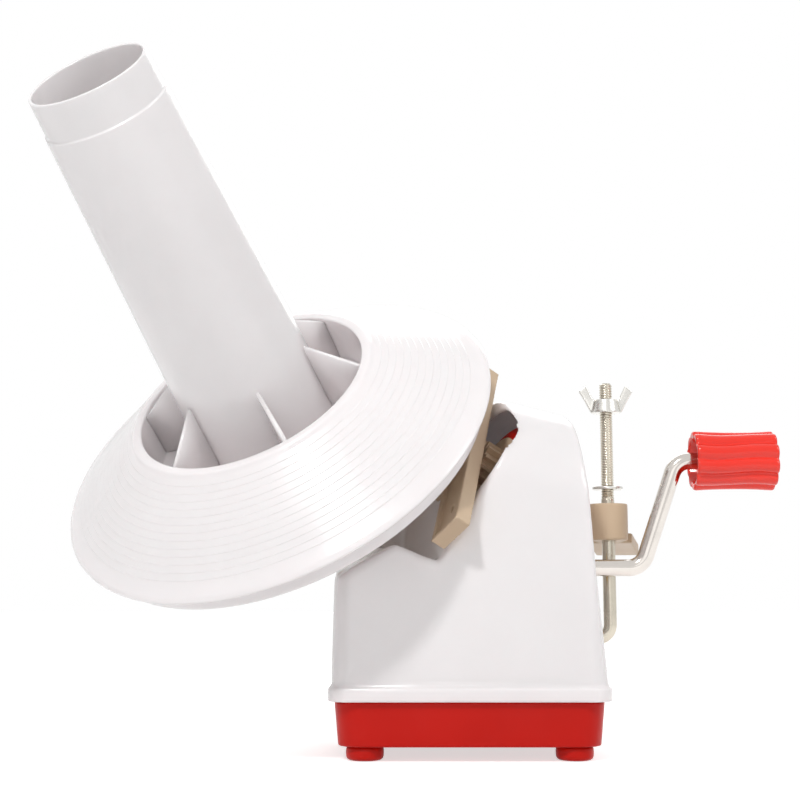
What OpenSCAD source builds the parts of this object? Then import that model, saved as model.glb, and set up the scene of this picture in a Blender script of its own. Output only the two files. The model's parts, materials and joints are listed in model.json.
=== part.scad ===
// Hand-cranked yarn ball winder.
// Origin in the middle of the pad under the base, +Z up, +X towards the crank; the feet reach below it.
// The winding head points up and forwards (-X) and is turned towards -Y.

/* [Base] */
// Length of the red base along X
base_l = 119; // [116:0.5:124]
// Depth of the red base along Y
base_d = 92; // [84:1:130]
// Height of the base walls above the feet
base_h = 20; // [16:1:30]
// Corner radius of base and housing in plan
corner_r = 5; // [4:0.5:9]
// Wall thickness of the moulded shells
wall = 2.5; // [2:0.1:3.5]
// Diameter of a foot
foot_d = 17; // [12:0.5:22]
// Height of a foot
foot_h = 5.6; // [4:0.2:10]
// Inset of the feet from the base ends along X
foot_inset_x = 13.5; // [10:0.5:25]
// Inset of the feet from the base sides along Y
foot_inset_y = 11.5; // [10:0.5:25]

/* [Housing] */
// Overhang of the bottom lip over the base
lip_over = 3; // [2:0.25:5]
// Height of the bottom lip
lip_h = 6; // [4:0.5:10]
// Height of the vaulted top over the base's middle
house_top = 162; // [160:0.5:164]
// Slope of the vaulted top towards the rear in degrees
top_slope = 14.5; // [12:0.5:16]
// Lean of the rear wall in degrees
rear_lean = 5.4; // [3:0.2:7]
// Lean of the front wall in degrees
front_lean = 2; // [0:0.2:3]
// Radius of the rear top edge
top_r = 18; // [12:0.5:20]

/* [Winding head] */
// Turn of the head towards -Y in degrees
head_turn = 20.3; // [18:0.1:22]
// Rise of the head axis above the horizontal in degrees
head_tilt = 29.3; // [28:0.1:31]
// Place of the carrier on the head axis, along X
head_x = 0.3; // [-2:0.1:3]
// Place of the carrier on the head axis, along Y
head_y = -20; // [-22:0.1:-18]
// Height of the carrier on the head axis
head_z = 131; // [129:0.1:134]
// Turn of the carrier about the head axis at rest
rest_turn = -54; // [-60:0.5:-48]
// Diameter of the main shaft
shaft_d = 8; // [7:0.25:8.5]
// Radius of the round opening in the housing
opening_r = 26.5; // [26:0.25:28]
// Distance from the carrier's middle back to the housing's face
face_back = 5.4; // [5:0.2:7]

/* [Carrier] */
// Length of the cross arm
arm_l = 110; // [100:1:114]
// Width of the cross arm
arm_w = 19.5; // [16:0.5:24]
// Thickness of the cross arm
arm_t = 7.2; // [6:0.2:8]
// Distance from the carrier forwards to where the bobbin axis crosses the head axis
cross_w = 149.2; // [148:0.2:154]
// Angle between bobbin axis and head axis in degrees
lean = 35.4; // [34:0.1:37]
// Clearance between the cross arm and the lower plate
plate_gap = 2.94; // [2:0.02:6]

/* [Bobbin] */
// Outer radius of the winding disc
disc_r = 106.5; // [100:0.5:108]
// Radius of the hole in the winding disc
hole_r = 57.5; // [52:0.5:62]
// Height of the hole's rim above the disc's outer rim
disc_rise = 31; // [24:0.5:36]
// Number of fine steps on the winding disc
disc_steps = 14; // [8:1:18]
// Depth of one step
step_h = 0.5; // [0.3:0.1:0.8]
// Radius of the lower plate
plate_r = 100; // [94:0.5:102]
// Drop of the lower plate under the disc's rim
plate_drop = 11; // [9:0.5:12]
// Outer radius of the bobbin tube at its foot
tube_foot_r = 34; // [30:0.5:36]
// Outer radius of the bobbin tube at its mouth
tube_top_r = 26.4; // [24:0.2:29]
// Height of the tube's mouth above the disc's rim
tube_top = 193; // [180:1:210]
// Height of the band at the tube's mouth
band_h = 17; // [10:0.5:24]
// Wall of the tube
tube_wall = 2.2; // [1.6:0.1:3]
// Number of gussets round the tube's foot
gussets = 6; // [3:1:8]
// Height of a gusset above the hole's rim at the tube
gusset_rise = 15; // [8:0.5:24]
// Turn of the gussets about the tube in degrees
gusset_turn = 3; // [0:1:60]
// Thickness of a gusset
gusset_t = 2; // [1.5:0.1:3]
// Diameter of the bobbin spindle
spindle_d = 10; // [8:0.5:12]

/* [Gears] */
// Module of the fixed sun gear and its planet
sun_module = 1.5; // [1.4:0.05:1.55]
// Teeth of the fixed sun gear
sun_teeth = 12; // [12:2:14]
// Teeth of the planet gear
planet_teeth = 10; // [10:1:10]
// Teeth of the bobbin gear
bobbin_teeth = 36; // [30:3:36]
// Teeth of the small bevel pinion that drives the bobbin
bevel_teeth = 12; // [10:1:12]
// Teeth of the crank's drive gear
drive_teeth = 36; // [30:3:36]
// Teeth of the main shaft's pinion
pinion_teeth = 12; // [10:1:12]
// Distance from the shafts' crossing to the big end of the drive gear's teeth
drive_cone = 67; // [64:0.5:68]
// Width of the bevel teeth
bevel_face = 10; // [7:0.5:10]
// Share of the pitch that a tooth fills
tooth_share = 0.4; // [0.34:0.01:0.42]

/* [Crank] */
// Height of the crank axle
axle_z = 78.9; // [77.5:0.1:80.5]
// Diameter of the crank rod
rod_d = 8; // [7:0.25:9]
// Throw of the crank
throw_r = 51.5; // [46:0.5:56]
// Where the crank rod starts to bend, along X
bend_x = 79; // [77:0.5:84]
// Bend radius of the rod's centre line
bend_r = 9; // [7:0.5:12]
// Angle of the crank arm to the axle in degrees
arm_angle = 71; // [66:1:80]
// Length of the grip
grip_l = 39; // [36:1:46]
// Diameter of the grip over its flutes
grip_d = 29; // [25:0.5:33]
// Number of flutes on the grip
flutes = 10; // [8:1:14]

/* [Clamp] */
// Diameter of the hook bolt
bolt_d = 6.4; // [5.5:0.1:7]
// Place of the bolt along X
bolt_x = 72; // [71.5:0.25:75]
// Place of the bolt along Y
bolt_y = 28; // [27.5:0.25:31]
// Height of the hook's leg, about which the bolt swings
hook_z = 45.5; // [43:0.5:48]
// Height of the bolt's top end
bolt_top = 170.5; // [165:0.5:185]
// Bend radius of the hook's centre line
hook_r = 6; // [5:0.25:7]
// Height of the wing nut's foot on the bolt
nut_z = 155.5; // [145:0.5:158]
// Height of the loose washer on the bolt
washer_z = 117.5; // [115:0.5:125]
// Height of the jaw's foot on the bolt
jaw_z = 92.5; // [90:0.5:94]
// Height of the jaw's boss
jaw_h = 18; // [14:0.5:20]
// Radius of the jaw's boss
jaw_r = 9.6; // [8:0.2:9.8]
// Reach of the jaw from the bolt
jaw_l = 46; // [36:1:50]
// Turn of the stowed jaw away from the crank in degrees
jaw_turn = 76; // [74:1:84]

/* [Fits] */
// Radial clearance of a running fit
run_gap = 0.05; // [0.03:0.01:0.1]
// Radial clearance of a part that is pushed on and stays
seat_gap = 0.02; // [0.01:0.01:0.03]

/* [Hidden] */
$fn = 96;

white = [0.93, 0.92, 0.92];
red = [0.75, 0.1, 0.08];
beige = [0.74, 0.64, 0.5];
steel = [0.78, 0.76, 0.73];
brass = [0.8, 0.65, 0.35];
tiny = 0.01;

// Base and housing
lip_z = base_h;
lip_l = base_l + 2 * lip_over;
lip_d = base_d + 2 * lip_over;
house_d = lip_d - 4;
house_l = lip_l - 3;
vault_r = house_d / 2 + 1.5;
top_lift = 4;
panel_z = lip_z + lip_h;
rear_top_x = (house_l / 2 - (house_top - panel_z) * tan(rear_lean)) / (1 - tan(top_slope) * tan(rear_lean));
screw_r = 1.5;
screw_head_r = 3;
screw_head_h = 2;
post_r = 4;
post_h = 12;
foot_edge = 1.2;
pad_h = 0.6;
pad_l = base_l - 2 * foot_inset_x - foot_d - 7;
pad_d = base_d - 2 * foot_inset_y - foot_d - 20;
tab_w = 4;
post_x = base_l / 2 - wall - 8;
post_y = base_d / 2 - wall - 8;

// Head axis as a vector, and the crossing of main shaft and crank axle
head_dir = [-cos(head_tilt) * cos(head_turn), -cos(head_tilt) * sin(head_turn), sin(head_tilt)];
apex_back = (head_z - axle_z) / sin(head_tilt);
apex_x = head_x + apex_back * cos(head_tilt) * cos(head_turn);
axle_y = head_y + apex_back * cos(head_tilt) * sin(head_turn);
shaft_angle = acos(-head_dir[0]);
shaft_r = shaft_d / 2;
rod_r = rod_d / 2;
bolt_r = bolt_d / 2;
spindle_r = spindle_d / 2;

// Layers along the head axis, measured from the carrier's middle
arm_back = -arm_t / 2;
sun_front = arm_back - 2;
sun_w = 8;
sun_back = sun_front - sun_w;
foot_t = 3;
foot_back = sun_back - foot_t;
foot_r = sun_module * (sun_teeth / 2 + 0.75) + 6.5;
sun_head_r = 2.4;
sun_screw_r = sun_module * (sun_teeth / 2 + 0.75) + sun_head_r + 0.2;
flange_t = 4;
flange_back = foot_back - flange_t;
tube_back = -36;
bush_l = 8;
bush_wall = 2.5;
bush_r = shaft_r + bush_wall;
tube_r = bush_r + 4;

// Bevel pair of crank axle and main shaft
drive_tan = sin(shaft_angle) / (drive_teeth / pinion_teeth + cos(shaft_angle));
pinion_cone = atan(drive_tan);
drive_angle = shaft_angle - pinion_cone;
drive_far = drive_cone * cos(drive_angle);
pinion_far = drive_cone * cos(pinion_cone);

// Planet axis, and the bevel pair of planet shaft and bobbin
planet_a = sun_module * (sun_teeth + planet_teeth) / 2;
planet_r = 3;
rim_in = 5;
apex_t = planet_a / sin(lean);
bevel_tan = sin(lean) / (bobbin_teeth / bevel_teeth + cos(lean));
bevel_cone = atan(bevel_tan);
bobbin_angle = lean - bevel_cone;
plate_t = 2.5;
floor_z = 5;
plate_low = -plate_drop - plate_t;
cross_s = plate_low + (cross_w - arm_t / 2 - plate_gap - (plate_r - rim_in) * sin(lean)) / cos(lean);
gear_top = floor_z - plate_t;
recess_r = 82;
gear_low = plate_low - bevel_face * cos(bobbin_angle) - 1.5;
bobbin_far = cross_s - apex_t - gear_low;
bevel_dist = bobbin_far / cos(bobbin_angle);
bevel_far = bevel_dist * cos(bevel_cone);
planet_apex_z = cross_w - apex_t * cos(lean);
bevel_z = planet_apex_z - bevel_far;

// Bobbin hub and spindle, measured along the bobbin axis from the disc's rim
hub_r = spindle_r + 4;
gear_hub_r = 24;
gear_screw_r = (hub_r + gear_hub_r) / 2 + 0.5;
hub_top = 14;
boss_gap = 1;
boss_top = gear_low - boss_gap;
boss_l = 14;
boss_r = spindle_r + 5;
spindle_low = boss_top - boss_l;
spindle_top = hub_top + 8;
cone_t = 2.5;
cone_slope = disc_rise / (disc_r - hole_r);
rim_band = 5;
rim_low = 4;
rim_up = 3;
sweep_gap = 2;

// Crank path in the plane of axle and grip
rise_bend = bend_r * (1 - cos(arm_angle));
run_bend = bend_r * sin(arm_angle);
arm_run = (throw_r - 2 * rise_bend) / sin(arm_angle);
arm_end_x = bend_x + run_bend + arm_run * cos(arm_angle);
bend_lap = 0.5;
bend_swell = 0.05;
grip_x = arm_end_x + run_bend + 1.5;
rod_end = grip_x + grip_l - 6;
axle_in = 8;
hook_in = 8;
axle_boss = 6;
drive_x = apex_x - drive_far;
plate_x = 9;
frame_t = 9;
plate_d = 62;
plate_past = 16;
plate_over = 12;
plate_step = 22;
foot_reach = 12;
frame_foot_t = 4;
frame_screw_x = frame_t / 2 + foot_reach / 2 + 0.5;
frame_screw_y = plate_d / 2 - 9;
frame_screw_l = 5;
hole_gap = 0.2;
clip_t = 1.2;
boss_wall = 3;

// Rear wall at a height
function rear_x(z) = house_l / 2 - (z - panel_z) * tan(rear_lean);

// Points of a straight-flanked gear: n teeth, root and tip radius, share of the pitch at root and tip
function gear_points(n, root, tip, root_share, tip_share) =
    [for (i = [0 : n - 1], k = [0 : 3])
        let (a = 360 / n * (i + [-root_share, -tip_share, tip_share, root_share][k] / 2),
             r = [root, tip, tip, root][k])
        [r * cos(a), r * sin(a)]];

// Plane gear of pitch radius r with n teeth; tall scales the tooth height
module gear_plane(n, r, tall = 1) {
    m = 2 * r / n;
    add = 0.75 * m * tall;
    ded = 1.05 * m * tall;
    slope = tan(20) * 2 / PI;
    polygon(gear_points(n, r - ded, r + add,
                        tooth_share + slope * ded / m,
                        tooth_share - slope * add / m));
}

// Bevel gear with its apex at the origin and its axis along -Z; far is the big end's distance
module bevel_gear(n, angle, far, face) {
    depth = face * cos(angle);
    translate([0, 0, -far])
        linear_extrude(height = depth, scale = (far - depth) / far)
            gear_plane(n, far * tan(angle), 1 / cos(angle));
}

// Frames of the head, the carrier, the planet, the bobbin and the axle
module at_head() {
    translate([head_x, head_y, head_z])
        rotate([0, head_tilt - 90, head_turn])
            children();
}

module at_carrier() {
    at_head()
        rotate([0, 0, rest_turn])
            children();
}

module at_planet() {
    at_carrier()
        translate([-planet_a, 0, 0])
            children();
}

module at_bobbin() {
    at_carrier()
        translate([0, 0, cross_w])
            rotate([0, lean, 0])
                translate([0, 0, -cross_s])
                    children();
}

module at_axle(x = 0) {
    translate([x, axle_y, axle_z])
        rotate([0, 90, 0])
            children();
}

module at_bolt(z = 0) {
    translate([bolt_x, bolt_y, z])
        children();
}

module round_plan(l, d, r) {
    hull_x = l / 2 - r;
    hull_y = d / 2 - r;
    square([l, d - 2 * r], center = true);
    square([l - 2 * r, d], center = true);
    for (sx = [-1, 1], sy = [-1, 1])
        translate([sx * hull_x, sy * hull_y])
            circle(r);
}

module ring(r_out, r_in, h) {
    difference() {
        cylinder(r = r_out, h = h);
        translate([0, 0, -1])
            cylinder(r = r_in, h = h + 2);
    }
}

// Pan head screw that points down, with its head's top at 0
module pan_screw(length) {
    translate([0, 0, -screw_head_h])
        cylinder(r = screw_head_r, h = screw_head_h);
    translate([0, 0, -screw_head_h - length])
        cylinder(r = screw_r, h = length + tiny);
}

module at_posts(z) {
    for (sx = [-1, 1], sy = [-1, 1])
        translate([sx * post_x, sy * post_y, z])
            children();
}

module at_feet() {
    for (sx = [-1, 1], sy = [-1, 1])
        translate([sx * (base_l / 2 - foot_inset_x), sy * (base_d / 2 - foot_inset_y), 0])
            children();
}

// Height of the top over a place along X
function top_z(x) = house_top - x * tan(top_slope);

// Side outline of the housing, moved inwards by t
module side_outline(t) {
    low = lip_z - (t > 0 ? 1 : 0);
    front = -house_l / 2 + t;
    rear = house_l / 2 - t;
    rear_top = rear_top_x - t;
    rear_z = top_z(rear_top_x) - t + top_lift;
    front_top = front + (house_top - panel_z) * tan(front_lean);
    difference() {
        polygon([[front, low], [rear, low], [rear, panel_z], [rear_top, rear_z],
                 [front_top, top_z(front_top) - t + top_lift], [front, panel_z]]);
        rear_corner(rear_top, rear_z, max(top_r - t, 1));
    }
}

// What the rounded rear top corner leaves off
module rear_corner(x, z, r) {
    turn = 90 - top_slope - rear_lean;
    reach = r * tan(turn / 2);
    start_x = x + reach * sin(rear_lean);
    start_z = z - reach * cos(rear_lean);
    mid_x = start_x - r * cos(rear_lean);
    mid_z = start_z - r * sin(rear_lean);
    difference() {
        polygon([[start_x, start_z], [x + 1, z], [x, z + 1],
                 [x - reach * cos(top_slope), z + reach * sin(top_slope)], [mid_x, mid_z]]);
        translate([mid_x, mid_z])
            circle(r);
    }
}

// Long vault whose top line slopes to the rear, with open room below it
module house_vault(t) {
    r = vault_r - t;
    translate([0, 0, house_top - t / cos(top_slope)])
        rotate([0, top_slope, 0]) {
            translate([0, 0, -r])
                rotate([0, 90, 0])
                    cylinder(r = r, h = 4 * house_l, center = true);
            translate([-2 * house_l, -house_l, -r - 3 * house_l])
                cube([4 * house_l, 2 * house_l, 3 * house_l]);
        }
}

module house_block(t) {
    intersection() {
        rotate([90, 0, 0])
            linear_extrude(height = 2 * house_d, center = true)
                side_outline(t);
        translate([0, 0, lip_z - 2])
            linear_extrude(height = house_top + base_l)
                round_plan(house_l - 2 * t, house_d - 2 * t, corner_r - t);
        house_vault(t);
    }
}

// Largest radius about the head axis, at a distance z along it, of a bobbin circle of radius r
// that lies t below the crossing of the axes
function swept_r(z, r, t) =
    let (c = (cross_w - t * cos(lean) - z) / (r * sin(lean)),
         k = max(-1, min(1, c)))
    norm([r * cos(lean) * k - t * sin(lean), r * sqrt(1 - k * k)]);

// Space swept by the turning carrier and bobbin, as a bowl about the head axis, grown by t
module swept_bowl(t) {
    sweep_r = norm([arm_l / 2, arm_w / 2]) + sweep_gap;
    at_head()
        rotate_extrude()
            polygon(concat([[0, -face_back - t], [sweep_r + t, -face_back - t]],
                           [for (z = [14, 20, 28, 38, 50, 66, 90, cross_w])
                               [t + max(sweep_r, sweep_gap + swept_r(z, plate_r - rim_in, cross_s - plate_low),
                                        sweep_gap + swept_r(z, plate_r, cross_s - plate_low - rim_up),
                                        sweep_gap + swept_r(z, disc_r, cross_s + rim_low)), z - t]],
                           [[0, cross_w - t]]));
}

module base_tub() {
    color(red)
        difference() {
            union() {
                difference() {
                    translate([0, 0, pad_h])
                        linear_extrude(height = base_h - pad_h)
                            round_plan(base_l, base_d, corner_r);
                    translate([0, 0, wall])
                        linear_extrude(height = base_h)
                            round_plan(base_l - 2 * wall, base_d - 2 * wall, corner_r - wall);
                }
                translate([-pad_l / 2, -pad_d / 2, 0])
                    cube([pad_l, pad_d, wall]);
                at_posts(pad_h)
                    cylinder(r = post_r, h = base_h - pad_h);
                translate([base_l / 2 - tiny, -tab_w / 2, -2])
                    cube([wall, tab_w, lip_z + 2]);
            }
            at_posts(-1)
                cylinder(r = screw_head_r + hole_gap, h = screw_head_h + 2);
            at_posts(0)
                cylinder(r = screw_r + hole_gap, h = base_h + 1);
            at_frame_screws(-1)
                cylinder(r = screw_r + seat_gap, h = wall + 2);
        }
}

module feet() {
    color(red)
        at_feet() {
            translate([0, 0, -foot_h])
                cylinder(r1 = foot_d / 2 - foot_edge, r2 = foot_d / 2, h = foot_edge);
            translate([0, 0, foot_edge - foot_h])
                cylinder(r = foot_d / 2, h = foot_h - foot_edge + pad_h);
        }
}

module base_screws() {
    color(steel)
        at_posts(1)
            rotate([180, 0, 0])
                pan_screw(base_h + 4);
}

module housing_shell() {
    color(white)
        difference() {
            union() {
                difference() {
                    union() {
                        house_block(0);
                        translate([0, 0, lip_z])
                            linear_extrude(height = lip_h)
                                round_plan(lip_l, lip_d, corner_r + 1.5);
                    }
                    swept_bowl(0);
                    difference() {
                        house_block(wall);
                        swept_bowl(wall);
                    }
                    at_head()
                        translate([0, 0, -face_back - 12])
                            cylinder(r = opening_r, h = 14);
                }
                at_posts(lip_z)
                    cylinder(r = post_r, h = post_h);
                for (sx = [-1, 1], sy = [-1, 1])
                    translate([sx * post_x - wall / 2, sy > 0 ? post_y + 2 : -house_d / 2 + 1, lip_z])
                        cube([wall, house_d / 2 - post_y - 3, post_h]);
                translate([0, bolt_y, hook_z])
                    rotate([0, 90, 0])
                        translate([0, 0, rear_x(hook_z) - hook_in])
                            cylinder(r = bolt_r + boss_wall + 1, h = hook_in + boss_wall);
                at_axle(rear_x(axle_z) - axle_boss)
                    cylinder(r = rod_r + bush_wall + boss_wall, h = axle_boss);
            }
            at_posts(lip_z - 1)
                cylinder(r = screw_r + seat_gap, h = post_h);
            translate([0, bolt_y, hook_z])
                rotate([0, 90, 0])
                    cylinder(r = bolt_r + run_gap, h = house_l);
            at_axle(rear_x(axle_z) - 2 * axle_boss)
                cylinder(r = rod_r + bush_wall + seat_gap, h = 5 * axle_boss);
        }
}

// Inner frame: a standing plate with the head's bearing tube and the axle's inner bearing
module inner_frame() {
    color(red)
        difference() {
            union() {
                translate([plate_x, axle_y - plate_d + plate_past, wall])
                    cube([frame_t, plate_d, axle_z - wall + plate_over]);
                intersection() {
                    translate([plate_x, axle_y - plate_d + plate_past, axle_z])
                        cube([frame_t, plate_d - plate_step, head_z - axle_z]);
                    at_head()
                        translate([0, 0, 2 * tube_back])
                            cylinder(r = plate_d, h = flange_back - 2 * tube_back);
                }
                translate([plate_x - foot_reach, axle_y - plate_d + plate_past, wall])
                    cube([frame_t + 2 * foot_reach, plate_d, frame_foot_t]);
                at_head() {
                    translate([0, 0, tube_back])
                        cylinder(r = tube_r, h = flange_back - tube_back + tiny);
                    translate([0, 0, flange_back])
                        cylinder(r = opening_r - wall, h = flange_t);
                }
                at_axle(plate_x)
                    cylinder(r = rod_r + bush_wall + boss_wall, h = frame_t + 2);
            }
            at_carrier() {
                translate([0, 0, 2 * tube_back])
                    cylinder(r = bush_r + seat_gap, h = -2 * tube_back);
                for (a = [0 : 120 : 240])
                    rotate([0, 0, a])
                        translate([sun_screw_r, 0, flange_back - 1])
                            cylinder(r = screw_r, h = flange_t + 2);
            }
            at_axle(plate_x - 1)
                cylinder(r = rod_r + bush_wall + seat_gap, h = frame_t + 6);
            at_frame_screws(0)
                cylinder(r = screw_r + hole_gap, h = wall + frame_foot_t + 1);
        }
}

module at_frame_screws(z) {
    for (sx = [-1, 1], sy = [-1, 1])
        translate([plate_x + frame_t / 2 + sx * frame_screw_x, axle_y - plate_d / 2 + plate_past + sy * frame_screw_y, z])
            children();
}

module frame_screws() {
    color(steel)
        at_frame_screws(wall + frame_foot_t + screw_head_h)
            pan_screw(frame_screw_l);
}

module head_bushes() {
    color(brass)
        at_head()
            for (z = [tube_back, foot_back - bush_l])
                translate([0, 0, z])
                    ring(bush_r, shaft_r + run_gap, bush_l);
}

module at_sun_screws(z) {
    at_carrier()
        for (a = [0 : 120 : 240])
            rotate([0, 0, a])
                translate([sun_screw_r, 0, z])
                    children();
}

module sun_gear() {
    color(beige)
        difference() {
            at_carrier()
                difference() {
                    union() {
                        translate([0, 0, sun_back - tiny])
                            linear_extrude(height = sun_w + tiny)
                                gear_plane(sun_teeth, sun_module * sun_teeth / 2);
                        translate([0, 0, foot_back])
                            cylinder(r = foot_r, h = foot_t);
                    }
                    translate([0, 0, foot_back - 1])
                        cylinder(r = shaft_r + 0.5, h = foot_t + sun_w + 2);
                }
            at_sun_screws(foot_back - 1)
                cylinder(r = screw_r + 0.1, h = foot_t + 2);
            at_sun_screws(sun_back - screw_head_h)
                cylinder(r = sun_head_r + 0.1, h = sun_w);
        }
}

module sun_screws() {
    color(steel) {
        at_sun_screws(sun_back - screw_head_h)
            cylinder(r = sun_head_r, h = screw_head_h);
        at_sun_screws(flange_back)
            cylinder(r = screw_r - seat_gap, h = sun_back - flange_back - 1);
    }
}

module main_shaft() {
    color(steel)
        at_head()
            translate([0, 0, -pinion_end()])
                cylinder(r = shaft_r, h = pinion_end() + arm_t / 2 + 9);
}

function pinion_end() = apex_back - pinion_far + bevel_face * cos(pinion_cone);

module main_pinion() {
    color(beige)
        at_head()
            translate([0, 0, -apex_back])
                rotate([180, 0, rest_pinion()])
                    difference() {
                        bevel_gear(pinion_teeth, pinion_cone, pinion_far, bevel_face);
                        translate([0, 0, -pinion_far - 1])
                            cylinder(r = shaft_r + seat_gap, h = 30);
                    }
}

// Turn that points a tooth of the pinion at the crank axle
function rest_pinion() = atan2(sin(head_turn), -sin(head_tilt) * cos(head_turn));

module shaft_clip() {
    color(steel)
        at_head()
            translate([0, 0, tube_back - 1.2])
                ring(shaft_r + 2.2, shaft_r + seat_gap, 1);
}

module shaft_nut() {
    color(steel)
        at_carrier()
            translate([0, 0, arm_t / 2])
                difference() {
                    cylinder(r = shaft_r + 3.5, h = 6, $fn = 6);
                    translate([0, 0, -1])
                        cylinder(r = shaft_r + seat_gap, h = 8);
                }
}

// Cross arm of the carrier, hollowed from the front, with a small slot near each end
module carrier_arm() {
    rim = 2.2;
    pocket = 2;
    color(beige)
        at_carrier()
            difference() {
                cube([arm_w, arm_l, arm_t], center = true);
                for (s = [-1, 1])
                    translate([0, s * (arm_l / 4 + 4), arm_t / 2 - pocket / 2 + 1])
                        cube([arm_w - 2 * rim, arm_l / 2 - 8 - 2 * rim, pocket + 2], center = true);
                for (s = [-1, 1])
                    translate([0, s * (arm_l / 2 - 15), 0])
                        cube([1.6, 5, arm_t + 2], center = true);
                translate([0, 0, -arm_t])
                    cylinder(r = shaft_r + seat_gap, h = 2 * arm_t);
                for (s = [-1, 1])
                    translate([-arm_w / 2 - 1, s * stem_screw_y(), 0])
                        rotate([0, 90, 0])
                            cylinder(r = screw_r, h = 6);
            }
}

function stem_screw_y() = 7.4;
function stem_seat_x() = -arm_w / 2 - 4;

// Bracket from the arm to the bobbin spindle: flat stem, slanting beam and spindle boss
module spindle_bracket() {
    stem_in = -arm_w / 2;
    stem_out = -planet_a - 9;
    stem_w = 21;
    beam_w = 13;
    beam_t = 8;
    boss_mid = cross_s - boss_top + boss_l / 2;
    end_x = -boss_mid * sin(lean);
    end_z = cross_w - boss_mid * cos(lean);
    start_x = -planet_a + 4;
    start_z = 4;
    beam_a = atan2(end_z - start_z, start_x - end_x);
    color(beige)
        difference() {
            union() {
                at_carrier() {
                    translate([stem_out, -stem_w / 2, -arm_t / 2])
                        cube([stem_in - stem_out, stem_w, arm_t]);
                    translate([start_x, 0, start_z])
                        rotate([0, beam_a, 0])
                            translate([-norm([end_x - start_x, end_z - start_z]), -beam_w / 2, -beam_t / 2])
                                cube([norm([end_x - start_x, end_z - start_z]), beam_w, beam_t]);
                }
                at_planet()
                    translate([0, 0, -arm_t / 2])
                        cylinder(r = planet_r + 3.5, h = bevel_z - 1 + arm_t / 2);
                at_bobbin()
                    translate([0, 0, spindle_low])
                        cylinder(r = boss_r, h = boss_l);
            }
            at_planet()
                translate([0, 0, -20])
                    cylinder(r = planet_r + run_gap, h = 80);
            at_bobbin()
                translate([0, 0, spindle_low - 20])
                    cylinder(r = spindle_r + seat_gap, h = 40);
            at_carrier()
                for (s = [-1, 1])
                    translate([stem_out - 1, s * stem_screw_y(), 0])
                        rotate([0, 90, 0]) {
                            cylinder(r = screw_r + 0.1, h = 40);
                            cylinder(r = screw_head_r - 0.3, h = stem_seat_x() - stem_out + 1);
                        }
        }
}

module bracket_screws() {
    color(steel)
        at_carrier()
            for (s = [-1, 1])
                translate([stem_seat_x(), s * stem_screw_y(), 0])
                    rotate([0, 90, 0]) {
                        translate([0, 0, -2])
                            cylinder(r = screw_head_r - 0.4, h = 2);
                        cylinder(r = screw_r - 0.02, h = 8);
                    }
}

module planet_shaft() {
    color(steel)
        at_planet()
            translate([0, 0, sun_back + 0.5])
                cylinder(r = planet_r, h = bevel_z + bevel_face * cos(bevel_cone) - sun_back + 1);
}

module planet_gear() {
    color(beige)
        at_planet()
            translate([0, 0, sun_back + 0.5])
                difference() {
                    rotate([0, 0, 180 / planet_teeth])
                        linear_extrude(height = sun_w - 1)
                            gear_plane(planet_teeth, sun_module * planet_teeth / 2);
                    translate([0, 0, -1])
                        cylinder(r = planet_r + seat_gap, h = sun_w + 2);
                }
}

module planet_pinion() {
    color(beige)
        at_planet()
            translate([0, 0, planet_apex_z])
                difference() {
                    bevel_gear(bevel_teeth, bevel_cone, bevel_far, bevel_face);
                    translate([0, 0, -bevel_far - 1])
                        cylinder(r = planet_r + seat_gap, h = 30);
                }
}

module bobbin_spindle() {
    color(steel)
        at_bobbin()
            translate([0, 0, spindle_low])
                cylinder(r = spindle_r, h = spindle_top - spindle_low);
}

module bobbin_gear() {
    color(beige)
        at_bobbin()
            difference() {
                union() {
                    translate([0, 0, cross_s - apex_t])
                        rotate([0, 0, 180 / bobbin_teeth])
                            bevel_gear(bobbin_teeth, bobbin_angle, bobbin_far, bevel_face);
                    translate([0, 0, gear_low])
                        cylinder(r = gear_hub_r, h = gear_top - gear_low);
                }
                translate([0, 0, gear_low - 1])
                    cylinder(r = hub_r + seat_gap, h = gear_top - gear_low + 2);
                at_gear_screws(gear_low - 1)
                    cylinder(r = screw_r + hole_gap / 2, h = gear_top - gear_low + 2);
                at_gear_screws(gear_low - 1)
                    cylinder(r = screw_head_r + 0.1, h = screw_head_h + 1.5);
            }
}

module at_gear_screws(z) {
    for (a = [0 : 90 : 270])
        rotate([0, 0, a + 45])
            translate([gear_screw_r, 0, z])
                children();
}

module gear_screws() {
    color(steel)
        at_bobbin()
            at_gear_screws(gear_low + 0.5)
                rotate([180, 0, 0])
                    pan_screw(gear_top - gear_low + 1);
}

// Lower plate with its hub, its upturned rim and the raised middle that carries the disc
module lower_plate() {
    color(white)
        at_bobbin()
            difference() {
                rotate_extrude()
                    polygon([[spindle_r + run_gap, gear_low], [hub_r, gear_low], [hub_r, gear_top],
                             [recess_r, gear_top], [recess_r, plate_low], [plate_r - rim_in, plate_low],
                             [plate_r, plate_low + rim_up], [plate_r, plate_low + 6],
                             [plate_r - 2, plate_low + 6], [plate_r - 2, plate_low + 4],
                             [plate_r - 6, plate_low + plate_t], [recess_r + plate_t, plate_low + plate_t],
                             [recess_r + plate_t, floor_z], [hub_r, floor_z],
                             [hub_r, hub_top], [spindle_r + run_gap, hub_top]]);
                at_gear_screws(gear_top - 1)
                    cylinder(r = screw_r, h = plate_t + 2);
            }
}

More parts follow.
